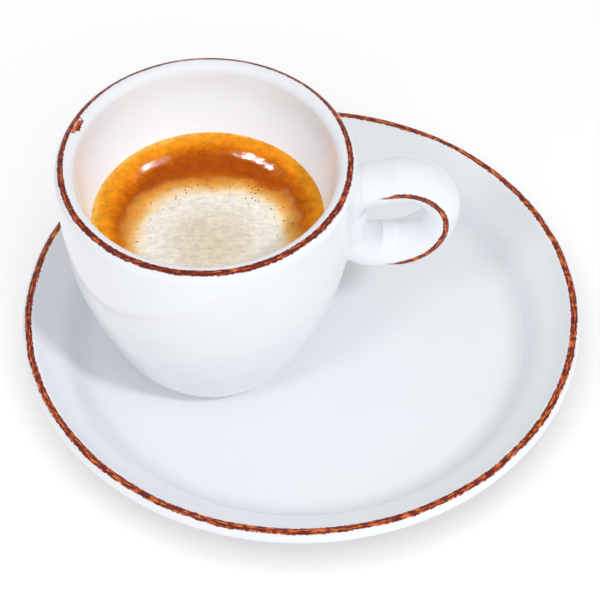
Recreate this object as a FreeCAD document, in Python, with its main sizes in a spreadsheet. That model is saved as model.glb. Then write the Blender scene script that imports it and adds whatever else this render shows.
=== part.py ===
"""An espresso macchiato in its porcelain cup on its saucer, as a parametric document.

Frame: millimetres, +Z up, origin on the table under the centre of the saucer. The cup
stands off centre on the flat well of the saucer and its handle points along +X.
Nodes: saucer, cup (with its handle), espresso, milk_foam.
"""
import FreeCAD, Part
import math
import os

import Sketcher

SHEET = "Sizes"

# name: (value, what it sets). Lengths in millimetres, angles in degrees.
SIZES = {
    # Saucer, as radii inward from its edge and heights above the table.
    "saucer_radius": (61.4, "outermost edge of the saucer"),
    "saucer_well_height": (7.0, "flat well above the table"),
    "saucer_well_inset": (16.4, "edge to the rim of the flat well"),
    "saucer_cove_inset": (11.9, "edge to the end of the cove round the well"),
    "saucer_cove_rise": (1.9, "end of the cove above the well"),
    "saucer_step_inset": (10.1, "edge to the top of the steep step"),
    "saucer_step_rise": (3.9, "top of the steep step above the well"),
    "saucer_flare_inset": (6.9, "edge to the start of the flare"),
    "saucer_flare_rise": (6.6, "start of the flare above the well"),
    "saucer_lip_inset": (2.6, "edge to the end of the flare"),
    "saucer_lip_rise": (10.0, "end of the flare above the well"),
    "saucer_edge_rise": (9.3, "widest point of the edge above the well"),
    "saucer_under_inset": (1.2, "edge to the underside of the edge"),
    "saucer_under_rise": (6.7, "underside of the edge above the well"),
    "saucer_belly_inset": (12.9, "edge to the turn of the underside"),
    "saucer_belly_height": (5.4, "turn of the underside above the table"),
    "saucer_apron_inset": (18.9, "edge to the end of the underside"),
    "saucer_apron_height": (2.2, "end of the underside above the table"),
    "saucer_ring_radius": (38.5, "outside of the foot ring where it stands"),
    "saucer_ring_width": (3.0, "standing width of the foot ring"),
    "saucer_ring_draft": (0.9, "inner slope of the foot ring"),
    "saucer_recess": (2.0, "underside of the well above the table"),
    # Cup body, as radii inward from its lip and heights from its rim or its foot.
    "cup_height": (57.5, "foot to rim"),
    "cup_lip_radius": (31.8, "outermost radius, just under the rim"),
    "cup_lip_round": (2.0, "outer rounding of the lip"),
    "cup_waist_inset": (1.15, "lip to the waist"),
    "cup_waist_drop": (21.0, "waist below the rim"),
    "cup_knee_inset": (5.7, "lip to the knee"),
    "cup_knee_rise": (17.8, "knee above the foot"),
    "cup_heel_inset": (9.5, "lip to the heel"),
    "cup_heel_rise": (8.0, "heel above the foot"),
    "cup_foot_inset": (14.3, "lip to the outside of the foot"),
    "cup_foot_rise": (1.0, "height of the foot"),
    "cup_foot_width": (3.0, "standing width of the foot ring"),
    "cup_foot_recess": (1.0, "recess inside the foot ring"),
    # Hollow of the cup.
    "lip_inner_inset": (4.0, "lip to the inner edge of the lip"),
    "lip_inner_drop": (1.62, "inner edge of the lip below the rim"),
    "throat_inset": (6.9, "lip to the hollow at the throat"),
    "throat_drop": (17.3, "throat below the rim"),
    "bowl_inset": (11.4, "lip to the hollow at the bowl"),
    "bowl_rise": (19.5, "bowl above the foot"),
    "floor_radius": (4.0, "flat centre of the hollow's floor"),
    "floor_rise": (6.6, "floor of the hollow above the foot"),
    # Handle: a round-backed ear whose section has a soft ridge at each side.
    "ear_projection": (18.7, "lip to the centre line's outermost point"),
    "ear_turn_drop": (14.66, "outermost point of the centre line below the rim"),
    "ear_upper_bend": (9.5, "radius of the upper bend"),
    "ear_lower_bend": (11.9, "radius of the lower bend"),
    "ear_upper_tilt": (11.5, "rise of the upper arm away from the wall, degrees"),
    "ear_web_inset": (3.0, "lip to the centre line of the web along the wall"),
    "ear_web_upper_bend": (8.5, "radius of the corner between the web and the upper arm"),
    "ear_web_lower_bend": (6.5, "radius of the corner between the web and the lower arm"),
    "ear_half_width": (5.7, "half of the handle's width"),
    "ear_crown": (3.4, "height of the outer back above the ridges"),
    "ear_keel": (5.5, "depth of the inner side below the ridges"),
    "ear_ridge_round": (1.8, "rounding of the ridges"),
    "ear_root_fillet": (0.7, "fillet where the ear meets the wall"),
    # Drink.
    "drink_drop": (17.3, "surface of the espresso below the rim"),
    "foam_shift_x": (2.0, "foam patch off the cup's axis, towards the handle"),
    "foam_shift_y": (-7.0, "foam patch off the cup's axis, across the handle"),
    "foam_margin": (1.1, "foam patch clear of the wall at its nearest"),
    "foam_crown": (0.5, "foam's dome above the espresso"),
    "foam_depth": (3.0, "foam's belly below the surface"),
    # Where the cup stands on the saucer.
    "cup_standoff": (7.85, "cup's foot to the rim of the flat well"),
    "cup_bearing": (176.8, "direction of the cup from the saucer's centre, degrees"),
}


class Size:
    """A number together with the sheet expression that gives it."""

    def __init__(self, number, formula):
        self.number = number
        self.formula = formula

    def __add__(self, other):
        return Size(self.number + other.number, f"({self.formula} + {other.formula})")

    def __sub__(self, other):
        return Size(self.number - other.number, f"({self.formula} - {other.formula})")

    def __mul__(self, other):
        return Size(self.number * other.number, f"({self.formula} * {other.formula})")

    def __truediv__(self, other):
        return Size(self.number / other.number, f"({self.formula} / {other.formula})")


def size(name):
    return Size(SIZES[name][0], f"{SHEET}.{name}")


def sine(angle):
    return Size(math.sin(math.radians(angle.number)), f"sin({angle.formula} * 1 deg)")


def cosine(angle):
    return Size(math.cos(math.radians(angle.number)), f"cos({angle.formula} * 1 deg)")


def root(square):
    return Size(math.sqrt(square.number), f"sqrt({square.formula})")


ZERO = Size(0.0, "0")
TWO = Size(2.0, "2")
MM3_PER_CM3 = 1000

# Sketcher's own numbering: the origin, the two axes, and the points of an edge.
ORIGIN = -1
ACROSS_AXIS = -1
UP_AXIS = -2
START = 1
END = 2
CENTRE = 3


def write_sheet(document):
    sheet = document.addObject("Spreadsheet::Sheet", SHEET)
    for row, (name, (value, meaning)) in enumerate(SIZES.items(), start=1):
        sheet.set(f"A{row}", name)
        sheet.set(f"B{row}", str(value))
        sheet.set(f"C{row}", meaning)
        sheet.setAlias(f"B{row}", name)
    document.recompute()


def origin_plane(body, role):
    return next(feature for feature in body.Origin.OriginFeatures if feature.Role == role)


def new_sketch(body, name, role):
    sketch = body.newObject("Sketcher::SketchObject", name)
    sketch.AttachmentSupport = [(origin_plane(body, role), "")]
    sketch.MapMode = "FlatFace"
    return sketch


def bind(sketch, kind, where, value):
    """Add a constraint whose value the sheet gives."""
    index = sketch.addConstraint(Sketcher.Constraint(kind, *where, value.number))
    sketch.setExpression(f"Constraints[{index}]", value.formula)


def pin(sketch, edge, point, across, up):
    """Hold a point of an edge at its two coordinates."""
    for kind, axis, value in (("DistanceX", UP_AXIS, across), ("DistanceY", ACROSS_AXIS, up)):
        if value is ZERO:
            sketch.addConstraint(Sketcher.Constraint("PointOnObject", edge, point, axis))
        else:
            bind(sketch, kind, (ORIGIN, START, edge, point), value)


def vector(across, up):
    return FreeCAD.Vector(across, up, 0)


class Outline:
    """A chain of edges drawn corner by corner in a sketch, with every corner held by the sheet."""

    def __init__(self, sketch, across, up):
        self.sketch = sketch
        self.start = (across, up)
        self.here = self.start
        self.heading = None
        self.last = None
        self.opening = None

    def add(self, shape, entry, leave, corner, joint="Coincident"):
        """Add an edge that carries on from the last one, and pin its far end."""
        edge = self.sketch.addGeometry(shape, False)
        if self.last is None:
            self.opening = (edge, entry)
            pin(self.sketch, edge, entry, *self.here)
        else:
            self.sketch.addConstraint(Sketcher.Constraint(joint, *self.last, edge, entry))
        if corner == self.start:
            self.sketch.addConstraint(Sketcher.Constraint("Coincident", edge, leave, *self.opening))
        elif corner is not None:
            pin(self.sketch, edge, leave, *corner)
            self.here = corner
        self.last = (edge, leave)
        return edge

    def chord(self, across, up):
        """Length and direction of the straight way to a corner."""
        run = across.number - self.here[0].number
        rise = up.number - self.here[1].number
        return math.hypot(run, rise), math.atan2(rise, run)

    def line(self, across, up):
        start = vector(self.here[0].number, self.here[1].number)
        end = vector(across.number, up.number)
        self.heading = self.chord(across, up)[1]
        self.add(Part.LineSegment(start, end), START, END, (across, up))

    def arc(self, across, up, turn, joint):
        """Arc to a corner that turns the heading by an angle, positive to the left."""
        length, direction = self.chord(across, up)
        side = math.copysign(1, turn)
        radius = length / (2 * math.sin(abs(turn) / 2))
        inward = direction - turn / 2 + side * math.pi / 2
        centre = vector(
            self.here[0].number + radius * math.cos(inward),
            self.here[1].number + radius * math.sin(inward),
        )
        first = inward - math.pi
        second = first + turn
        circle = Part.Circle(centre, FreeCAD.Vector(0, 0, 1), radius)
        shape = Part.ArcOfCircle(circle, min(first, second), max(first, second))
        ends = (START, END) if turn > 0 else (END, START)
        self.heading = direction + turn / 2
        return self.add(shape, *ends, (across, up), joint)

    def smooth(self, across, up):
        """Arc that leaves the last edge without a corner."""
        direction = self.chord(across, up)[1]
        turn = math.remainder(2 * (direction - self.heading), 2 * math.pi)
        self.arc(across, up, turn, "Tangent")

    def bend(self, across, up, radius, side):
        """Arc of a given radius, turning left (1) or right (-1)."""
        length = self.chord(across, up)[0]
        turn = side * 2 * math.asin(length / (2 * radius.number))
        edge = self.arc(across, up, turn, "Coincident")
        bind(self.sketch, "Radius", (edge,), radius)

    def close(self):
        """Line back to the start."""
        start = self.sketch.getPoint(*self.last)
        end = self.sketch.getPoint(*self.opening)
        edge = self.add(Part.LineSegment(start, end), START, END, None)
        self.sketch.addConstraint(Sketcher.Constraint("Coincident", edge, END, *self.opening))


def turn_about_axis(body, sketch, name, kind="Revolution"):
    """Revolve a body's outline once about its own upright axis, its seam on the -X side."""
    turned = body.newObject(f"PartDesign::{kind}", name)
    turned.Profile = sketch
    turned.ReferenceAxis = (sketch, ["V_Axis"])
    turned.Midplane = True
    turned.Angle = 360


def new_body(document, name):
    body = document.addObject("PartDesign::Body", name)
    body.Label = name
    return body


def stand(thing, across, back, up):
    """Place a body by sheet values."""
    for axis, value in (("x", across), ("y", back), ("z", up)):
        thing.setExpression(f"Placement.Base.{axis}", value.formula)


def build_saucer(document):
    """Dish with a flat well, a steep step and a flared edge, standing on a foot ring."""
    body = new_body(document, "saucer")
    sketch = new_sketch(body, "saucer_outline", "XZ_Plane")
    edge = size("saucer_radius")
    well = size("saucer_well_height")
    ring_outer = size("saucer_ring_radius")
    ring_inner = ring_outer - size("saucer_ring_width")
    recess_edge = ring_inner - size("saucer_ring_draft")
    recess = size("saucer_recess")

    def radius(name):
        return edge - size(name)

    outline = Outline(sketch, ZERO, well)
    outline.line(radius("saucer_well_inset"), well)
    for station in ("cove", "step", "flare", "lip"):
        outline.smooth(radius(f"saucer_{station}_inset"), well + size(f"saucer_{station}_rise"))
    outline.smooth(edge, well + size("saucer_edge_rise"))
    outline.smooth(radius("saucer_under_inset"), well + size("saucer_under_rise"))
    outline.smooth(radius("saucer_belly_inset"), size("saucer_belly_height"))
    outline.smooth(radius("saucer_apron_inset"), size("saucer_apron_height"))
    outline.line(ring_outer, ZERO)
    outline.line(ring_inner, ZERO)
    outline.line(recess_edge, recess)
    outline.line(ZERO, recess)
    outline.close()
    turn_about_axis(body, sketch, "saucer_turned")
    return body


def cap_radius(half_width, rise):
    """Radius of an arc that is level at its middle and falls by rise at half_width."""
    return (half_width * half_width + rise * rise) / (TWO * rise)


def draw_hollow(body, name):
    """Outline of the cup's hollow, from the crest of its rim down to its floor and closed."""
    lip = size("cup_lip_radius")
    rim = size("cup_height")
    inner_reach = size("lip_inner_inset") - size("cup_lip_round")
    inner_drop = size("lip_inner_drop")
    inner_round = cap_radius(inner_reach, inner_drop)

    sketch = new_sketch(body, name, "XZ_Plane")
    wall = Outline(sketch, lip - size("cup_lip_round"), rim)
    wall.bend(lip - size("lip_inner_inset"), rim - inner_drop, inner_round, side=1)
    wall.smooth(lip - size("throat_inset"), rim - size("throat_drop"))
    wall.smooth(lip - size("bowl_inset"), size("bowl_rise"))
    wall.smooth(size("floor_radius"), size("floor_rise"))
    wall.line(ZERO, size("floor_rise"))
    wall.line(ZERO, rim)
    wall.close()
    return sketch


def build_cup(document):
    """Thick-walled cup that tapers to a small foot, with its ear, in one piece."""
    body = new_body(document, "cup")
    sketch = new_sketch(body, "cup_outline", "XZ_Plane")
    lip = size("cup_lip_radius")
    rim = size("cup_height")
    lip_round = size("cup_lip_round")
    foot = lip - size("cup_foot_inset")
    ring = foot - size("cup_foot_width")
    recess = size("cup_foot_recess")

    outside = Outline(sketch, lip - lip_round, rim)
    outside.bend(lip, rim - lip_round, lip_round, side=-1)
    outside.smooth(lip - size("cup_waist_inset"), rim - size("cup_waist_drop"))
    outside.smooth(lip - size("cup_knee_inset"), size("cup_knee_rise"))
    outside.smooth(lip - size("cup_heel_inset"), size("cup_heel_rise"))
    outside.smooth(foot, size("cup_foot_rise"))
    outside.line(foot, ZERO)
    outside.line(ring, ZERO)
    outside.line(ring, recess)
    outside.line(ZERO, recess)
    outside.line(ZERO, rim)
    outside.close()
    turn_about_axis(body, sketch, "cup_turned")
    add_ear(document, body)
    hollow = draw_hollow(body, "hollow_outline")
    turn_about_axis(body, hollow, "cup_hollow", kind="Groove")
    return body


def ear_path(body):
    """Centre line of the ring: upper arm, two outer bends, lower arm and web, all tangent."""
    tilt = size("ear_upper_tilt")
    upper = size("ear_upper_bend")
    lower = size("ear_lower_bend")
    upper_corner = size("ear_web_upper_bend")
    lower_corner = size("ear_web_lower_bend")
    web = size("cup_lip_radius") - size("ear_web_inset")
    reach = size("cup_lip_radius") + size("ear_projection")
    turn = size("cup_height") - size("ear_turn_drop")
    crest_reach = reach - upper - upper * sine(tilt)
    crest = turn + upper * cosine(tilt)
    floor = turn - lower
    arm_reach = web + upper_corner - upper_corner * sine(tilt)
    arm = crest - (crest_reach - arm_reach) * sine(tilt) / cosine(tilt)

    sketch = new_sketch(body, "ear_path", "XZ_Plane")
    path = Outline(sketch, arm_reach, arm)
    path.line(crest_reach, crest)
    path.bend(reach, turn, upper, side=-1)
    path.bend(reach - lower, floor, lower, side=-1)
    path.line(web + lower_corner, floor)
    path.bend(web, floor + lower_corner, lower_corner, side=-1)
    path.line(web, arm - upper_corner * cosine(tilt))
    path.bend(arm_reach, arm, upper_corner, side=-1)
    return sketch, arm_reach, arm


def ear_section(body, across, up):
    """Section of the ear: a low back and a deeper keel that meet in two rounded ridges."""
    half = size("ear_half_width")
    ridge = size("ear_ridge_round")
    inset = half - ridge

    sketch = new_sketch(body, "ear_section", "YZ_Plane")
    lean = FreeCAD.Rotation(FreeCAD.Vector(1, 0, 0), SIZES["ear_upper_tilt"][0])
    sketch.AttachmentOffset = FreeCAD.Placement(FreeCAD.Vector(), lean)
    sketch.setExpression("AttachmentOffset.Rotation.Angle", f"{SHEET}.ear_upper_tilt")
    sketch.setExpression("AttachmentOffset.Base.y", up.formula)
    sketch.setExpression("AttachmentOffset.Base.z", across.formula)

    def bow_radius(bow):
        """Radius of the bow that runs into both ridges at a given height above them."""
        spread = half * half - TWO * half * ridge + bow * bow
        return spread / (TWO * (bow - ridge))

    def arc(across, up, radius, start, end):
        circle = Part.Circle(vector(across, up), FreeCAD.Vector(0, 0, 1), radius)
        return sketch.addGeometry(Part.ArcOfCircle(circle, start, end), False)

    back = size("ear_crown")
    keel = size("ear_keel")
    back_radius = bow_radius(back)
    keel_radius = bow_radius(keel)
    back_centre = back.number - back_radius.number
    keel_centre = keel_radius.number - keel.number
    back_turn = math.atan2(-back_centre, inset.number)
    keel_turn = math.atan2(keel_centre, inset.number)
    right = arc(inset.number, 0, ridge.number, -keel_turn, back_turn)
    top = arc(0, back_centre, back_radius.number, back_turn, math.pi - back_turn)
    left = arc(-inset.number, 0, ridge.number, math.pi - back_turn, math.pi + keel_turn)
    bottom = arc(0, keel_centre, keel_radius.number, math.pi + keel_turn, 2 * math.pi - keel_turn)
    for one, other in ((right, top), (top, left), (left, bottom), (bottom, right)):
        sketch.addConstraint(Sketcher.Constraint("Tangent", one, END, other, START))
    for ridge_arc in (right, left):
        bind(sketch, "Radius", (ridge_arc,), ridge)
        sketch.addConstraint(Sketcher.Constraint("PointOnObject", ridge_arc, CENTRE, ACROSS_AXIS))
    bind(sketch, "DistanceX", (ORIGIN, START, right, CENTRE), inset)
    bind(sketch, "DistanceX", (left, CENTRE, ORIGIN, START), inset)
    bind(sketch, "Radius", (top,), back_radius)
    bind(sketch, "Radius", (bottom,), keel_radius)
    return sketch


def is_ring(face):
    """True of the turned faces of the cup's body, whose boxes reach across its axis."""
    return face.BoundBox.XMin < 0 < face.BoundBox.XMax


def root_edges(shape):
    """Names of the edges where the ear meets the wall."""
    found = []
    for number, edge in enumerate(shape.Edges, start=1):
        rings = [is_ring(face) for face in shape.ancestorsOfType(edge, Part.Face)]
        if any(rings) and not all(rings):
            found.append(f"Edge{number}")
    return found


def add_ear(document, body):
    """Sweep the ear as a closed ring whose near side runs in the wall, and round its root."""
    path, upper_reach, upper_root = ear_path(body)
    section = ear_section(body, upper_reach, upper_root)
    document.recompute()
    ear = body.newObject("PartDesign::AdditivePipe", "ear")
    ear.Profile = section
    ear.Spine = path
    document.recompute()
    fillet = body.newObject("PartDesign::Fillet", "ear_root")
    fillet.Base = (ear, root_edges(ear.Shape))
    fillet.setExpression("Radius", f"{SHEET}.ear_root_fillet")
    document.recompute()


def build_espresso(document, foam, seat):
    """Coffee that fills the cup's hollow up to its surface, hollowed where the foam lies."""
    room = new_body(document, "drink_room")
    turn_about_axis(room, draw_hollow(room, "room_outline"), "room_turned")
    stand(room, *seat)

    level = document.addObject("Part::Cylinder", "drink_level")
    level.setExpression("Radius", f"{SHEET}.cup_lip_radius")
    level.setExpression("Height", (size("cup_height") - size("drink_drop")).formula)
    stand(level, *seat)

    filled = document.addObject("Part::Common", "drink_filled")
    filled.Base = room
    filled.Tool = level
    espresso = document.addObject("Part::Cut", "espresso")
    espresso.Base = filled
    espresso.Tool = foam
    return espresso


def build_foam(document, seat):
    """Milk foam spooned on the coffee: a shallow dome over a lens that floats in it."""
    body = new_body(document, "milk_foam")
    sketch = new_sketch(body, "foam_outline", "XZ_Plane")
    shift_x = size("foam_shift_x")
    shift_y = size("foam_shift_y")
    shift = root(shift_x * shift_x + shift_y * shift_y)
    throat = size("cup_lip_radius") - size("throat_inset")
    radius = throat - shift - size("foam_margin")
    level = size("cup_height") - size("drink_drop")
    crown = size("foam_crown")
    depth = size("foam_depth")

    lens = Outline(sketch, ZERO, level + crown)
    lens.bend(radius, level, cap_radius(radius, crown), side=-1)
    lens.bend(ZERO, level - depth, cap_radius(radius, depth), side=-1)
    lens.close()
    turn_about_axis(body, sketch, "foam_turned")
    stand(body, seat[0] + shift_x, seat[1] + shift_y, seat[2])
    return body


def cup_seat():
    """Where the middle of the cup's foot stands on the saucer's well."""
    well_radius = size("saucer_radius") - size("saucer_well_inset")
    foot_radius = size("cup_lip_radius") - size("cup_foot_inset")
    distance = well_radius - foot_radius - size("cup_standoff")
    bearing = size("cup_bearing")
    return distance * cosine(bearing), distance * sine(bearing), size("saucer_well_height")


def check(document, nodes):
    """Stop unless every object computed and every node is one valid closed solid."""
    for thing in document.Objects:
        if {"Invalid", "Error"} & set(thing.State):
            raise RuntimeError(f"{thing.Name} did not compute: {thing.State}")
    for node in nodes:
        shape = node.Shape
        if shape.isNull() or not shape.isValid() or len(shape.Solids) != 1:
            raise RuntimeError(f"{node.Label} is not one valid solid")


def main():
    document = FreeCAD.newDocument("espresso_macchiato")
    write_sheet(document)
    seat = cup_seat()
    saucer = build_saucer(document)
    cup = build_cup(document)
    stand(cup, *seat)
    foam = build_foam(document, seat)
    espresso = build_espresso(document, foam, seat)
    document.recompute()

    nodes = [saucer, cup, espresso, foam]
    check(document, nodes)
    os.makedirs("parts", exist_ok=True)
    for node in nodes:
        node.Shape.exportStep(f"parts/{node.Label}.step")
        print(f"{node.Label}: {node.Shape.Volume / MM3_PER_CM3:.2f} cm3")


main()
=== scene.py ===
"""Looks of an espresso macchiato in its porcelain cup on its saucer.

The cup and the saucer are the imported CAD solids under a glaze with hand-brushed lines.
The coffee and the milk foam are meshes with a wet, uneven surface. Lengths are millimetres
in the frame of the CAD model, except on the stage, where metres are named as such.
"""

import math

import bpy
import numpy as np
from mathutils import Matrix, Vector, noise


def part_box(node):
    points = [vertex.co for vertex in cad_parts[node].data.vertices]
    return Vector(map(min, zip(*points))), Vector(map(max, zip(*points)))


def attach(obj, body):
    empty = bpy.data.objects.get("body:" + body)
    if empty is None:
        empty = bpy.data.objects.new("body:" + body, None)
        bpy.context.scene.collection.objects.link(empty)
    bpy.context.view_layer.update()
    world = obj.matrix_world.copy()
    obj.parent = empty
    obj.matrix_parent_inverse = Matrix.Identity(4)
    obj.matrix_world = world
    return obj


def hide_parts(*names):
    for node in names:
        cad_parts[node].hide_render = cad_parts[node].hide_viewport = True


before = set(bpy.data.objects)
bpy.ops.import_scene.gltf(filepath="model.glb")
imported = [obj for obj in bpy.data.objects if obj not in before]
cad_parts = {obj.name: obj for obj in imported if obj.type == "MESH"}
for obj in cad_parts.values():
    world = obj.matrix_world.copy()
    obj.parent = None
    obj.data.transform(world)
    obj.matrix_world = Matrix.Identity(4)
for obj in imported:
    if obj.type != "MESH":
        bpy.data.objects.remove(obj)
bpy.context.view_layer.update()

MM = 0.001
MM_PER_METRE = 1000.0


def node_box(name):
    """Lowest and highest corner of a CAD node in millimetres."""
    return [np.array(corner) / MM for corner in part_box(name)]


COFFEE_BOX = node_box("espresso")
FOAM_BOX = node_box("milk_foam")
CUP_BOX = node_box("cup")
SAUCER_BOX = node_box("saucer")
AXIS_X, AXIS_Y = ((COFFEE_BOX[0] + COFFEE_BOX[1]) / 2)[:2]
FOAM_X, FOAM_Y = ((FOAM_BOX[0] + FOAM_BOX[1]) / 2)[:2]
FOAM_RADIUS = (FOAM_BOX[1][0] - FOAM_BOX[0][0]) / 2
FOAM_DEPTH = 3.0
LEVEL = COFFEE_BOX[1][2]
RIM = CUP_BOX[1][2]
SAUCER_RIM = SAUCER_BOX[1][2]


# ---------------------------------------------------------------- materials

def srgb(red, green, blue):
    """Linear colour of an sRGB triple from 0 to 255."""
    def linear(value):
        value /= 255
        return value / 12.92 if value <= 0.04045 else ((value + 0.055) / 1.055) ** 2.4
    return (linear(red), linear(green), linear(blue), 1.0)


class Field:
    """A value inside a material; arithmetic on it adds Math nodes."""

    def __init__(self, tree, socket):
        self.tree = tree
        self.socket = socket

    def math(self, operation, *others, clamp=False):
        node = self.tree.nodes.new("ShaderNodeMath")
        node.operation = operation
        node.use_clamp = clamp
        for slot, value in zip(node.inputs, (self, *others)):
            connect(self.tree, slot, value)
        return Field(self.tree, node.outputs[0])

    def __add__(self, other):
        return self.math("ADD", other)

    def __sub__(self, other):
        return self.math("SUBTRACT", other)

    def __mul__(self, other):
        return self.math("MULTIPLY", other)

    def __truediv__(self, other):
        return self.math("DIVIDE", other)

    def opposite(self):
        """1 minus the value."""
        return self * -1.0 + 1.0

    def length_with(self, other):
        return (self * self + other * other).math("SQRT")

    def rise(self, low, high):
        """0 below low, 1 above high and smooth between; falls where high is the lower."""
        node = self.tree.nodes.new("ShaderNodeMapRange")
        node.interpolation_type = "SMOOTHSTEP"
        up = high > low
        first, second = (low, high) if up else (high, low)
        connect(self.tree, node.inputs["Value"], self)
        connect(self.tree, node.inputs["From Min"], first)
        connect(self.tree, node.inputs["From Max"], second)
        node.inputs["To Min"].default_value = 0.0 if up else 1.0
        node.inputs["To Max"].default_value = 1.0 if up else 0.0
        return Field(self.tree, node.outputs["Result"])


def connect(tree, slot, value):
    """Link a Field or a socket to an input, or set its plain value."""
    if isinstance(value, Field):
        tree.links.new(value.socket, slot)
    elif isinstance(value, bpy.types.NodeSocket):
        tree.links.new(value, slot)
    else:
        slot.default_value = value


class Finish:
    """A new material with a Principled shader and the tools to fill it in."""

    def __init__(self, name, **constants):
        self.material = bpy.data.materials.new(name)
        self.material.use_nodes = True
        self.tree = self.material.node_tree
        self.shader = self.tree.nodes["Principled BSDF"]
        for key, value in constants.items():
            self.shader.inputs[key.replace("_", " ")].default_value = value
        spot = self.tree.nodes.new("ShaderNodeTexCoord")
        scaled = self.tree.nodes.new("ShaderNodeVectorMath")
        scaled.operation = "MULTIPLY_ADD"
        self.tree.links.new(spot.outputs["Object"], scaled.inputs[0])
        scaled.inputs[1].default_value = (MM_PER_METRE,) * 3
        self.here = scaled.outputs[0]
        self.scaled = scaled

    def centre_on(self, x, y, z):
        """Measure places in millimetres from a point of the frame."""
        self.scaled.inputs[2].default_value = (-x, -y, -z)
        split = self.tree.nodes.new("ShaderNodeSeparateXYZ")
        self.tree.links.new(self.here, split.inputs[0])
        return [Field(self.tree, out) for out in split.outputs]

    def combine(self, x, y, z):
        node = self.tree.nodes.new("ShaderNodeCombineXYZ")
        for slot, value in zip(node.inputs, (x, y, z)):
            connect(self.tree, slot, value)
        return node.outputs[0]

    def noise(self, size, detail=2.0, roughness=0.5, stretch=None, place=None):
        """Noise from about 0 to 1 whose features are a given number of millimetres across."""
        node = self.tree.nodes.new("ShaderNodeTexNoise")
        vector = self.here if place is None else place
        if stretch is not None:
            mapping = self.tree.nodes.new("ShaderNodeVectorMath")
            mapping.operation = "MULTIPLY"
            self.tree.links.new(vector, mapping.inputs[0])
            mapping.inputs[1].default_value = stretch
            vector = mapping.outputs[0]
        self.tree.links.new(vector, node.inputs["Vector"])
        node.inputs["Scale"].default_value = 1 / size
        node.inputs["Detail"].default_value = detail
        node.inputs["Roughness"].default_value = roughness
        return Field(self.tree, node.outputs["Fac"])

    def cells(self, size):
        """Distance to the nearest of scattered points, and a random number for each point."""
        node = self.tree.nodes.new("ShaderNodeTexVoronoi")
        self.tree.links.new(self.here, node.inputs["Vector"])
        node.inputs["Scale"].default_value = 1 / size
        split = self.tree.nodes.new("ShaderNodeSeparateColor")
        self.tree.links.new(node.outputs["Color"], split.inputs[0])
        return Field(self.tree, node.outputs["Distance"]), Field(self.tree, split.outputs[0])

    def ramp(self, value, *stops):
        """Colour along a value, from (place, colour) stops in rising order."""
        low, high = stops[0][0], stops[-1][0]
        node = self.tree.nodes.new("ShaderNodeValToRGB")
        connect(self.tree, node.inputs[0], (value - low) / (high - low))
        elements = node.color_ramp.elements
        elements[0].color = stops[0][1]
        elements[1].color = stops[-1][1]
        for place, colour in stops[1:-1]:
            elements.new((place - low) / (high - low)).color = colour
        return node.outputs[0]

    def mix(self, factor, first, second, blend="MIX"):
        node = self.tree.nodes.new("ShaderNodeMix")
        node.data_type = "RGBA"
        node.blend_type = blend
        node.clamp_factor = True
        connect(self.tree, node.inputs["Factor"], factor)
        connect(self.tree, node.inputs[6], first)
        connect(self.tree, node.inputs[7], second)
        return node.outputs[2]

    def bump(self, height, depth, below=None):
        """Relief of the surface, from a height from 0 to 1 and its depth in millimetres."""
        node = self.tree.nodes.new("ShaderNodeBump")
        node.inputs["Strength"].default_value = 1.0
        node.inputs["Distance"].default_value = depth * MM
        connect(self.tree, node.inputs["Height"], height)
        if below is not None:
            self.tree.links.new(below, node.inputs["Normal"])
        return node.outputs[0]

    def finish(self, colour, roughness, normal):
        connect(self.tree, self.shader.inputs["Base Color"], colour)
        connect(self.tree, self.shader.inputs["Roughness"], roughness)
        connect(self.tree, self.shader.inputs["Normal"], normal)
        return self.material


GLAZE = srgb(243, 245, 249)
GLAZE_THIN = srgb(239, 242, 247)
PAINT_DARK = srgb(106, 18, 0)
PAINT_MID = srgb(156, 46, 2)
PAINT_LIGHT = srgb(230, 118, 38)
GLAZE_ROUGHNESS = 0.13
PAINT_ROUGHER = 0.2
PAINT_DEPTH = 0.03
MOTTLE_SIZE = 9.0
WAVE_SIZE = 7.0
WAVE_DEPTH = 0.05


def porcelain(name, painted):
    """Glossy white glaze with brown brushed lines where painted says."""
    look = Finish(name, IOR=1.5)
    mask, stroke = painted(look)
    mottle = look.noise(MOTTLE_SIZE, detail=3.0)
    glaze = look.mix(mottle, GLAZE, GLAZE_THIN)
    paint = look.ramp(stroke, (0.0, PAINT_DARK), (0.47, PAINT_DARK), (0.53, PAINT_MID),
                      (0.61, PAINT_LIGHT), (1.0, PAINT_LIGHT))
    colour = look.mix(mask, glaze, paint)
    wave = look.bump(look.noise(WAVE_SIZE, detail=1.0), WAVE_DEPTH)
    roughness = mask * PAINT_ROUGHER + GLAZE_ROUGHNESS
    return look.finish(colour, roughness, look.bump(mask * stroke, PAINT_DEPTH, below=wave))


# How finely the streaks of the brush lie along and across a line, and what makes them light.
STREAKS_ALONG = 0.42
STREAKS_ACROSS = 2.7
STREAK_WEIGHT = 1.15
BLOTCH_SIZE = 1.6
BLOTCH_WEIGHT = 0.45
EDGE_DARKENING = 0.06
STROKE_DARKENING = 0.28


def strokes(look, along, across, width):
    """Streaky brush marks: 0 on the dark strokes, 1 where the brush left little paint."""
    place = look.combine(along * STREAKS_ALONG, across * STREAKS_ACROSS, 0.0)
    streak = look.noise(1.0, detail=3.0, roughness=0.6, place=place)
    blotch = look.noise(BLOTCH_SIZE, detail=2.0)
    off_middle = (across / width).math("ABSOLUTE")
    light = streak * STREAK_WEIGHT + blotch * BLOTCH_WEIGHT
    return light - off_middle * EDGE_DARKENING - STROKE_DARKENING


EDGE_GRAIN = 0.8
EDGE_SOFTNESS = 0.1


def band(look, across, half_width, ragged):
    """Mask of a line with ragged edges, from the signed distance to its middle."""
    edge = (look.noise(EDGE_GRAIN, detail=3.0, roughness=0.7) - 0.5) * ragged
    distance = across.math("ABSOLUTE") + edge
    return (distance * -1.0 + half_width).rise(-EDGE_SOFTNESS, EDGE_SOFTNESS)


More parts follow.
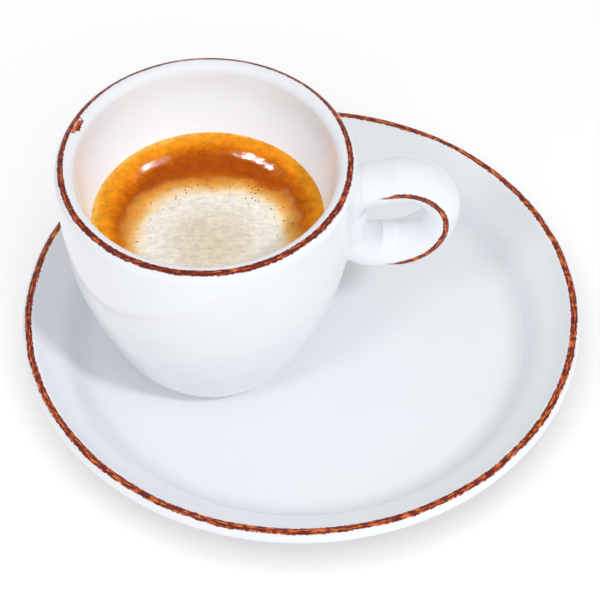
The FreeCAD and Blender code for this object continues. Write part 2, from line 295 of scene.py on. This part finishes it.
# Each pair is where a soft limit starts and where it ends.
CUP_LINE = 30.42
CUP_LINE_HALF = 0.62
CUP_LINE_FADE = (-1.4, -1.2)
CUP_LINE_RAGGED = 0.7
CUP_LINE_WANDER = 0.35
CUP_LINE_DARKENING = 0.045
CUP_LINE_FAR_SIDE = (-0.1, 0.9)
CUP_LINE_FAR_SHIFT = 0.42
SMEAR_FADE = (-1.0, -0.6)
SMEAR_LIGHTENING = 0.2


def cup_paint(look):
    """The line on the outer rounding of the lip, and the one along the ear's front ridge."""
    x, y, z = look.centre_on(AXIS_X, AXIS_Y, RIM)
    radius = x.length_with(y)
    wander = (look.noise(9.0, detail=1.0) - 0.5) * CUP_LINE_WANDER
    far = (y / radius).rise(*CUP_LINE_FAR_SIDE)
    across = radius + wander - CUP_LINE - far * CUP_LINE_FAR_SHIFT
    lip = band(look, across, CUP_LINE_HALF, CUP_LINE_RAGGED) * z.rise(*CUP_LINE_FADE)
    smear = blot(look, x, y) * z.rise(*SMEAR_FADE)
    turn = y.math("ARCTAN2", x) * CUP_LINE
    lip_stroke = strokes(look, turn, across, CUP_LINE_HALF) - CUP_LINE_DARKENING
    lip_stroke = lip_stroke + smear * lip.opposite() * SMEAR_LIGHTENING
    lip = lip.math("MAXIMUM", smear)
    ear, ear_stroke = ear_paint(look, x, y, z)
    mask = lip.math("MAXIMUM", ear)
    stroke = lip_stroke * ear.opposite() + ear_stroke * ear
    return mask, stroke


BLOT_RADIUS = 29.3
BLOT_TURN = math.radians(158)
BLOT_LENGTH = 2.4
BLOT_WIDTH = 0.8
BLOT_RAGGED = 2.6
BLOT_EDGE = (1.0, 0.75)


def blot(look, x, y):
    """A smear of paint that runs inward from the lip's line."""
    off_x = x - BLOT_RADIUS * math.cos(BLOT_TURN)
    off_y = y - BLOT_RADIUS * math.sin(BLOT_TURN)
    outward = off_x * math.cos(BLOT_TURN) + off_y * math.sin(BLOT_TURN)
    along = off_y * math.cos(BLOT_TURN) - off_x * math.sin(BLOT_TURN)
    distance = (outward / BLOT_WIDTH).length_with(along / BLOT_LENGTH)
    ragged = (look.noise(0.9, detail=3.0, roughness=0.7) - 0.5) * BLOT_RAGGED
    return (distance + ragged).rise(*BLOT_EDGE)


# The ear's own sizes as in the CAD model: EAR_TURN is the height of its bends' centre from
# the rim. The angles of the line's ends are radians about that centre.
EAR_REACH = 50.5
EAR_TURN = -14.66
EAR_UPPER = 9.5
EAR_LOWER = 11.9
EAR_TILT = math.radians(11.5)
EAR_LINE_HALF = 0.62
EAR_LINE_RAGGED = 0.6
EAR_LINE_WANDER = 0.5
EAR_LINE_UPPER_END = (2.02, 1.55)
EAR_LINE_LOWER_END = (-1.78, -1.3)
EAR_LINE_TIP = (0.0, 0.08)
EAR_FRONT = (-2.6, -3.2)
EAR_ROOT = (33.0, 34.0)


def ear_paint(look, x, y, z):
    """The line that follows the ear's ridge on its front side and tapers at both ends."""
    upper_x = EAR_REACH - EAR_UPPER
    lower_x = EAR_REACH - EAR_LOWER
    crest_x = upper_x - EAR_UPPER * math.sin(EAR_TILT)
    crest_z = EAR_TURN + EAR_UPPER * math.cos(EAR_TILT)
    rise = z - EAR_TURN
    upper_bend = (x - upper_x).length_with(rise) - EAR_UPPER
    lower_bend = (x - lower_x).length_with(rise) - EAR_LOWER
    upper_arm = (z - crest_z) * math.cos(EAR_TILT) - (x - crest_x) * math.sin(EAR_TILT)
    lower_arm = rise * -1.0 - EAR_LOWER
    past_crest = x.math("GREATER_THAN", crest_x)
    past_lower = x.math("GREATER_THAN", lower_x)
    upper = upper_bend * past_crest + upper_arm * past_crest.opposite()
    lower = lower_bend * past_lower + lower_arm * past_lower.opposite()
    is_upper = rise.math("GREATER_THAN", 0.0)
    off = upper * is_upper + lower * is_upper.opposite()
    off = off + (look.noise(5.0, detail=1.0) - 0.5) * EAR_LINE_WANDER
    angle = rise.math("ARCTAN2", x - (upper_x + lower_x) / 2)
    taper = angle.rise(*EAR_LINE_UPPER_END) * angle.rise(*EAR_LINE_LOWER_END)
    line = band(look, off, taper * EAR_LINE_HALF, EAR_LINE_RAGGED)
    mask = line * y.rise(*EAR_FRONT) * taper.rise(*EAR_LINE_TIP) * x.rise(*EAR_ROOT)
    return mask, strokes(look, angle * EAR_UPPER, off, EAR_LINE_HALF)


SAUCER_LINE = 60.07
SAUCER_LINE_HALF = 0.74
SAUCER_LINE_RAGGED = 0.8
SAUCER_LINE_WANDER = 0.8
SAUCER_LINE_FADE = (-1.6, -1.3)


def saucer_paint(look):
    """The line round the crest of the saucer's edge."""
    x, y, z = look.centre_on(0.0, 0.0, SAUCER_RIM)
    radius = x.length_with(y)
    wander = (look.noise(14.0, detail=2.0) - 0.5) * SAUCER_LINE_WANDER
    across = radius + wander - SAUCER_LINE
    line = band(look, across, SAUCER_LINE_HALF, SAUCER_LINE_RAGGED)
    mask = line * z.rise(*SAUCER_LINE_FADE)
    turn = y.math("ARCTAN2", x) * SAUCER_LINE
    return mask, strokes(look, turn, across, SAUCER_LINE_HALF)


# Middle of the visible foam patch, off the cup's axis, and how square its outline is.
PATCH_X, PATCH_Y = 0.95, -7.7
PATCH_POWER = 2.6

# Colours by distance: the crema's from the cup's axis, the foam's from the patch's middle.
# The crema turns paler golden from about 21 mm out to the wall: partly its own lighter edge, partly
# a painted reflection of the white wall.
CREMA_WITH_PAINTED_REFLECTION = (
    (10.0, srgb(205, 112, 10)),
    (13.0, srgb(184, 88, 0)),
    (15.0, srgb(170, 75, 0)),
    (18.2, srgb(174, 78, 0)),
    (19.8, srgb(196, 98, 2)),
    (21.0, srgb(220, 120, 6)),
    (22.4, srgb(242, 146, 22)),
    (24.0, srgb(244, 158, 30)),
    (25.0, srgb(252, 186, 84)),
)
FOAM = (
    (0.0, srgb(225, 211, 183)),
    (6.0, srgb(227, 214, 193)),
    (10.5, srgb(240, 232, 218)),
    (13.8, srgb(246, 238, 224)),
    (15.2, srgb(250, 230, 198)),
    (16.2, srgb(244, 204, 146)),
    (17.2, srgb(236, 172, 88)),
    (18.4, srgb(224, 145, 46)),
    (19.8, srgb(208, 120, 18)),
    (21.0, srgb(196, 102, 6)),
)
# How far the crema's colours shift across the cup, so its golden ring is wider and lighter on the
# left and darker on the right: painted light and shade.
PAINTED_SIDE_SHADE = 0.7

# How far each noise moves the colours, as (drift, mottle, grain).
CREMA_SHIFTS = (3.2, 1.6, 0.8)
FOAM_SHIFTS = (4.0, 2.4, 2.2)
FOAM_COVER = (21.0, 18.4)
CREMA_ROUGHNESS = 0.07
FOAM_ROUGHNESS = 0.5
RELIEF_DEPTH = 0.1

BUBBLE_COLOUR = srgb(138, 58, 4)
BUBBLE_STRENGTH = 0.8
BUBBLE_SPACING = 0.68
BUBBLE_EDGE = (0.4, 0.2)
BUBBLE_CHOSEN = (0.86, 0.92)
BUBBLES_START = (11.5, 15.0)
BUBBLES_END = (20.5, 17.0)
FAR_SIDE = (-6.0, 8.0)
FAR_SIDE_WEIGHT = 0.16
CLUSTER_SIZE = 2.6
CLUSTER_WEIGHT = 0.9


def shifted(distance, noises, shifts):
    """A distance moved back and forth by some noises, each with its own reach."""
    for field, shift in zip(noises, shifts):
        distance = distance + field * shift
    return distance


def bubbles(look, x, y, patch):
    """Mask of the small bubbles round the foam's edge, which are closer on its far side."""
    distance, chance = look.cells(BUBBLE_SPACING)
    near_edge = patch.rise(*BUBBLES_START) * patch.rise(*BUBBLES_END)
    far_side = (y * 0.8 + x * 0.35).rise(*FAR_SIDE) * FAR_SIDE_WEIGHT
    cluster = (look.noise(CLUSTER_SIZE, detail=1.0) - 0.5) * CLUSTER_WEIGHT
    chosen = (chance + far_side + cluster).rise(*BUBBLE_CHOSEN)
    return distance.rise(*BUBBLE_EDGE) * chosen * near_edge


def drink(name):
    """Golden crema that passes through speckled tan into off-white milk foam."""
    look = Finish(name, IOR=1.34, Specular_IOR_Level=0.14)
    x, y, _ = look.centre_on(AXIS_X, AXIS_Y, LEVEL)
    radius = x.length_with(y)
    side = (x - PATCH_X).math("ABSOLUTE").math("POWER", PATCH_POWER)
    front = (y - PATCH_Y).math("ABSOLUTE").math("POWER", PATCH_POWER)
    patch = (side + front).math("POWER", 1 / PATCH_POWER)
    drift = look.noise(6.0, detail=3.0) - 0.5
    mottle = look.noise(1.9, detail=4.0, roughness=0.65) - 0.5
    grain = look.noise(0.7, detail=4.0, roughness=0.7) - 0.5
    fibre = look.noise(1.0, detail=4.0, roughness=0.65, stretch=(0.35, 1.4, 1.0)) - 0.5
    # Painted light and shade: the crema's ring is lighter on the left and darker on the right.
    painted_side_shade = x / radius * PAINTED_SIDE_SHADE
    noises = (drift, mottle, grain)
    crema = look.ramp(shifted(radius - painted_side_shade, noises, CREMA_SHIFTS), *CREMA_WITH_PAINTED_REFLECTION)
    spread = shifted(patch, noises, FOAM_SHIFTS)
    foam = look.ramp(spread, *FOAM)
    cover = spread.rise(*FOAM_COVER)
    colour = look.mix(cover, crema, foam)
    shade = fibre * (cover * 0.34 + 0.16) + grain * 0.3 + mottle * (cover * -0.45 + 0.95) + 1.0
    grey = look.combine(shade, shade, shade)
    colour = look.mix(1.0, colour, grey, "MULTIPLY")
    bubble = bubbles(look, x, y, patch)
    colour = look.mix(bubble * BUBBLE_STRENGTH, colour, BUBBLE_COLOUR)
    height = (fibre * 0.6 + grain * 0.4) * (cover * 0.85 + 0.15) - bubble
    roughness = cover * FOAM_ROUGHNESS + cover.opposite() * CREMA_ROUGHNESS
    return look.finish(colour, roughness, look.bump(height, RELIEF_DEPTH))


# ---------------------------------------------------------------- drink meshes

def patch_distance(x, y):
    """Distance from the middle of the foam patch, in its rounded-square measure."""
    side = abs(x - PATCH_X) ** PATCH_POWER
    front = abs(y - PATCH_Y) ** PATCH_POWER
    return (side + front) ** (1 / PATCH_POWER)


WALL_RADIUS = (COFFEE_BOX[1][0] - COFFEE_BOX[0][0]) / 2
SHELF_TOP = 22.2
SHELF_FOOT = 17.8
SHELF_DROP = 0.5
FOAM_SWELL = 0.75
SWELL_TOP = 6.0
SWELL_FOOT = 19.0
SURFACE_SINK = 0.08
CLIMB_WIDTH = 2.2
CLIMB_HEIGHT = 0.12
WOBBLE_SCALE = 0.16
SHELF_WOBBLE = 0.25
# Fine relief as (scale, height), and the share of it that the crema keeps.
FINE_RELIEF = ((0.55, 0.05), (1.7, 0.02))
CREMA_SHARE = 0.2


def smooth_step(value, low, high):
    share = min(max((value - low) / (high - low), 0.0), 1.0)
    return share * share * (3 - 2 * share)


def shelf_height(radius):
    """Height of the crema's dished top, which is level beside the cup's wall."""
    return SHELF_DROP * (smooth_step(radius, SHELF_FOOT, SHELF_TOP) - 1)


def surface(x, y):
    """Height of the drink's surface above its level, at a place off the cup's axis."""
    radius = math.hypot(x, y)
    spot = Vector((x, y, 0.0))
    wobble = noise.noise(spot * WOBBLE_SCALE)
    shelf = shelf_height(radius + wobble * SHELF_WOBBLE)
    climb = smooth_step(radius, WALL_RADIUS - CLIMB_WIDTH, WALL_RADIUS)
    swell = 1 - smooth_step(patch_distance(x, y) + wobble, SWELL_TOP, SWELL_FOOT)
    fine = sum(noise.noise(spot * scale) * height for scale, height in FINE_RELIEF)
    return (shelf - SURFACE_SINK + climb * CLIMB_HEIGHT + swell * FOAM_SWELL
            + fine * (CREMA_SHARE + (1 - CREMA_SHARE) * swell))


def new_piece(name, points, faces):
    """Smooth mesh from points in millimetres of the frame."""
    mesh = bpy.data.meshes.new(name)
    mesh.from_pydata([tuple(c * MM for c in p) for p in points], [], faces)
    mesh.update()
    mesh.polygons.foreach_set("use_smooth", [True] * len(mesh.polygons))
    piece = bpy.data.objects.new(name, mesh)
    bpy.context.collection.objects.link(piece)
    return piece


def disc(centre, rings, turns, height):
    """Points and faces of rings about a centre, closed in the middle."""
    points = [(centre[0], centre[1], height(centre[0], centre[1]))]
    faces = []
    for ring in rings:
        for step in range(turns):
            angle = 2 * math.pi * step / turns
            x = centre[0] + ring * math.cos(angle)
            y = centre[1] + ring * math.sin(angle)
            points.append((x, y, height(x, y)))
    for step in range(turns):
        faces.append((0, 1 + step, 1 + (step + 1) % turns))
    for index in range(len(rings) - 1):
        inner = 1 + index * turns
        outer = inner + turns
        for step in range(turns):
            after = (step + 1) % turns
            faces.append((inner + step, outer + step, outer + after, inner + after))
    return points, faces


def close_below(points, faces, turns, rings, centre):
    """Carry the disc's outermost ring down through (radius, height) rings to a point."""
    last = len(points) - turns
    for ring, level in rings:
        for step in range(turns):
            angle = 2 * math.pi * step / turns
            points.append((centre[0] + ring * math.cos(angle),
                           centre[1] + ring * math.sin(angle), level))
        lower = len(points) - turns
        for step in range(turns):
            after = (step + 1) % turns
            faces.append((last + step, lower + step, lower + after, last + after))
        last = lower
    points.append((centre[0], centre[1], rings[-1][1]))
    tip = len(points) - 1
    for step in range(turns):
        faces.append((last + step, tip, last + (step + 1) % turns))


RING_STEP = 0.25
TURNS = 420
WALL_OVERLAP = 0.04
WALL_RINGS = 18
WALL_TOP = 1.0
WALL_FOOT = 0.3
FLOOR_GAP = 0.05
FLOOR_NARROWING = 0.5


def bowl_radius(node, height):
    """Radius of the drink against the cup's wall, read from the outside of the CAD solid."""
    start = Vector((AXIS_X + WALL_RADIUS * 2, AXIS_Y, height)) * MM
    hit, where, _, _ = node.ray_cast(start, Vector((-1, 0, 0)))
    return where.x / MM - AXIS_X if hit else 0.0


FOAM_SEAM = 0.8
FOAM_TUCK = 0.15
TUCK_START = 1.4
# Rings of the foam's underside, as shares of its radius.
LENS_RINGS = (0.93, 0.85, 0.6, 0.3)
LENS_DROP = 0.1
LENS_FLATNESS = 0.9


def foam_floor(distance):
    """Depth of the foam lens below the surface at a distance from its middle."""
    share = min(distance / (FOAM_RADIUS - FOAM_SEAM), 1.0)
    return FOAM_DEPTH * (1 - share * share)


def foam_tuck(distance):
    """How far the thin edge of the foam dips into the coffee at a distance from its middle."""
    return FOAM_TUCK * smooth_step(distance, FOAM_RADIUS - FOAM_SEAM * TUCK_START, FOAM_RADIUS)


def make_coffee():
    """The coffee, with a hollow under the foam and a wall that follows the cup."""
    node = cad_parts["espresso"]
    centre = (AXIS_X, AXIS_Y)
    rings = list(np.arange(RING_STEP, WALL_RADIUS, RING_STEP)) + [WALL_RADIUS + WALL_OVERLAP]

    def height(x, y):
        top = surface(x - AXIS_X, y - AXIS_Y)
        return LEVEL + top - foam_floor(math.hypot(x - FOAM_X, y - FOAM_Y))

    points, faces = disc(centre, rings, TURNS, height)
    floor = COFFEE_BOX[0][2]
    heights = np.linspace(LEVEL - WALL_TOP, floor + WALL_FOOT, WALL_RINGS)
    walls = [(bowl_radius(node, level), level) for level in heights]
    walls.append((walls[-1][0] * FLOOR_NARROWING, floor + FLOOR_GAP))
    close_below(points, faces, TURNS, walls, centre)
    return new_piece("coffee", points, faces)


def make_foam():
    """The milk foam, whose top carries on the coffee's surface over a lens."""
    centre = (FOAM_X, FOAM_Y)
    rings = list(np.arange(RING_STEP, FOAM_RADIUS, RING_STEP)) + [FOAM_RADIUS]

    def height(x, y):
        tuck = foam_tuck(math.hypot(x - FOAM_X, y - FOAM_Y))
        return LEVEL + surface(x - AXIS_X, y - AXIS_Y) - tuck

    points, faces = disc(centre, rings, TURNS, height)
    below = LEVEL - SHELF_DROP - LENS_DROP
    lens = [(FOAM_RADIUS * share, below - foam_floor(FOAM_RADIUS * share) * LENS_FLATNESS)
            for share in LENS_RINGS]
    close_below(points, faces, TURNS, lens, centre)
    return new_piece("foam", points, faces)


# ---------------------------------------------------------------- stage

# Lamps' places, sizes and distances are metres, and so are the floor's half and clip limits.
CAMERA_PLACE = Vector((-0.21, -443.54, 546.38)) * MM
CAMERA_PITCH = math.radians(49.8367)
CAMERA_ROLL = math.radians(-0.75174)
CAMERA_LENS = 187.97
CAMERA_SENSOR = 36.0
CAMERA_CLIP = (0.01, 20.0)


def make_camera():
    camera = bpy.data.objects.new("camera", bpy.data.cameras.new("camera"))
    bpy.context.collection.objects.link(camera)
    camera.data.lens = CAMERA_LENS
    camera.data.sensor_width = CAMERA_SENSOR
    camera.data.clip_start, camera.data.clip_end = CAMERA_CLIP
    tilt = Matrix.Rotation(math.pi / 2 - CAMERA_PITCH, 4, "X")
    camera.matrix_world = (Matrix.Translation(CAMERA_PLACE) @ tilt
                           @ Matrix.Rotation(CAMERA_ROLL, 4, "Z"))
    bpy.context.scene.camera = camera


def area_light(name, place, aim, size, power, shine=True, shade=True, spared=()):
    """A rectangular lamp, with shine for reflections, shade for matt light and spared pieces."""
    light = bpy.data.lights.new(name, "AREA")
    light.shape = "RECTANGLE"
    light.size, light.size_y = size
    light.energy = power
    lamp = bpy.data.objects.new(name, light)
    bpy.context.collection.objects.link(lamp)
    lamp.location = place
    lamp.rotation_mode = "QUATERNION"
    lamp.rotation_quaternion = (Vector(aim) - Vector(place)).to_track_quat("-Z", "Y")
    lamp.visible_camera = False
    lamp.visible_glossy = shine
    lamp.visible_diffuse = shade
    link_light(lamp, spared, "EXCLUDE")
    return lamp


def link_light(lamp, pieces, state):
    """Light all but the pieces with EXCLUDE, or the pieces alone with INCLUDE."""
    if not pieces:
        return
    linked = bpy.data.collections.new(lamp.name + "_linked")
    for piece in pieces:
        linked.objects.link(piece)
    for entry in linked.collection_objects:
        entry.light_linking.link_state = state
    lamp.light_linking.receiver_collection = linked


PART_MIDDLE = Vector((0.0, 0.0, 0.03))


def studio_light(name, turn, height, distance, size, power, spared):
    """A soft lamp round the part, at a turn and a height above the table in degrees."""
    turn, height = math.radians(turn), math.radians(height)
    way = Vector((math.cos(height) * math.cos(turn), math.cos(height) * math.sin(turn),
                  math.sin(height)))
    area_light(name, PART_MIDDLE + way * distance, PART_MIDDLE, (size, size), power,
               shine=False, spared=spared)


GLINT_RADIUS = 20.0
GLINT_SLOPE_STEP = 0.5
GLINT_REACH = 0.8


def glint_light(name, turn, size, power, spared):
    """A small lamp that shines only as a glint on the crema's slope at a turn in degrees."""
    turn = math.radians(turn)
    x, y = GLINT_RADIUS * math.cos(turn), GLINT_RADIUS * math.sin(turn)
    outer = shelf_height(GLINT_RADIUS + GLINT_SLOPE_STEP)
    inner = shelf_height(GLINT_RADIUS - GLINT_SLOPE_STEP)
    slope = (outer - inner) / (2 * GLINT_SLOPE_STEP)
    normal = Vector((-slope * math.cos(turn), -slope * math.sin(turn), 1.0)).normalized()
    spot = Vector((AXIS_X + x, AXIS_Y + y, LEVEL)) * MM
    view = (CAMERA_PLACE - spot).normalized()
    way = normal * (2 * normal.dot(view)) - view
    area_light(name, spot + way * GLINT_REACH, spot, size, power, shade=False, spared=spared)


INNER_LAMP_DROP = 4.0
INNER_LAMP_SIZE = 0.02
INNER_LAMP_COLOUR = (0.52, 0.84, 1.0)


def inner_light(power, spared):
    """A weak cool lamp in the cup's mouth that lifts the shade on the inside of its wall."""
    place = Vector((AXIS_X, AXIS_Y, RIM - INNER_LAMP_DROP)) * MM
    below = place - Vector((0, 0, 1))
    lamp = area_light("inner", place, below, (INNER_LAMP_SIZE, INNER_LAMP_SIZE), power,
                      shine=False, spared=spared)
    lamp.data.color = INNER_LAMP_COLOUR


FLOOR_LAMP_PLACE = Vector((0, -0.42, 0.9))
FLOOR_LAMP_SIZE = 0.9


def floor_light(power, floor):
    """A wide lamp for the floor alone, which leaves a soft shade under the saucer's edge."""
    lamp = area_light("floor_lamp", FLOOR_LAMP_PLACE, Vector((0, 0, 0)),
                      (FLOOR_LAMP_SIZE, FLOOR_LAMP_SIZE), power, shine=False)
    link_light(lamp, (floor,), "INCLUDE")


FLOOR_HALF = 3.0
FLOOR_GLOW = 0.27
FLOOR_ROUGHNESS = 0.9
FLOOR_TONES = ((0.50, 0.50, 0.50, 1), (0.51, 0.51, 0.51, 1))
FLOOR_TONE_SIZE = 60.0
WORLD_STRENGTH = 0.60
WHITE = (1, 1, 1, 1)


def make_floor():
    """A plain pale floor with a faint glow, which isn't part of the object."""
    mesh = bpy.data.meshes.new("floor")
    corners = [(x * FLOOR_HALF, y * FLOOR_HALF, 0) for x, y in ((-1, -1), (1, -1), (1, 1), (-1, 1))]
    mesh.from_pydata(corners, [], [(0, 1, 2, 3)])
    floor = bpy.data.objects.new("floor", mesh)
    bpy.context.collection.objects.link(floor)
    look = Finish("floor_white", Specular_IOR_Level=0.0)
    look.shader.inputs["Emission Strength"].default_value = FLOOR_GLOW
    look.shader.inputs["Emission Color"].default_value = WHITE
    colour = look.mix(look.noise(FLOOR_TONE_SIZE), *FLOOR_TONES)
    connect(look.tree, look.shader.inputs["Base Color"], colour)
    look.shader.inputs["Roughness"].default_value = FLOOR_ROUGHNESS
    mesh.materials.append(look.material)
    return floor


def make_world():
    world = bpy.data.worlds.new("studio")
    world.use_nodes = True
    background = world.node_tree.nodes["Background"]
    background.inputs["Color"].default_value = WHITE
    background.inputs["Strength"].default_value = WORLD_STRENGTH
    bpy.context.scene.world = world


def paint_node(name, material):
    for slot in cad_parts[name].material_slots:
        slot.material = material


make_camera()
bpy.context.scene.view_settings.view_transform = "Standard"
make_world()
floor = make_floor()
paint_node("cup", porcelain("cup_glaze", cup_paint))
paint_node("saucer", porcelain("saucer_glaze", saucer_paint))

coffee = make_coffee()
coffee.data.materials.append(drink("crema"))
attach(coffee, "root")
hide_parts("espresso")

foam = make_foam()
foam.data.materials.append(drink("milk"))
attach(foam, "root")
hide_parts("milk_foam")

cup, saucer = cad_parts["cup"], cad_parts["saucer"]
studio_light("key", turn=-48, height=52, distance=1.2, size=0.12, power=4.6, spared=(floor,))
studio_light("fill", turn=-125, height=50, distance=1.2, size=0.2, power=1.55, spared=(floor,))
studio_light("front", turn=-80, height=25, distance=1.2, size=0.5, power=0.6, spared=(floor,))
not_drink = (floor, saucer, cup)
glint_light("glint_right", turn=60, size=(0.06, 0.014), power=3.4, spared=not_drink)
glint_light("glint_left", turn=129, size=(0.035, 0.008), power=1.0, spared=not_drink)
inner_light(power=0.0054, spared=(coffee, foam, saucer, floor))
floor_light(power=12.5, floor=floor)
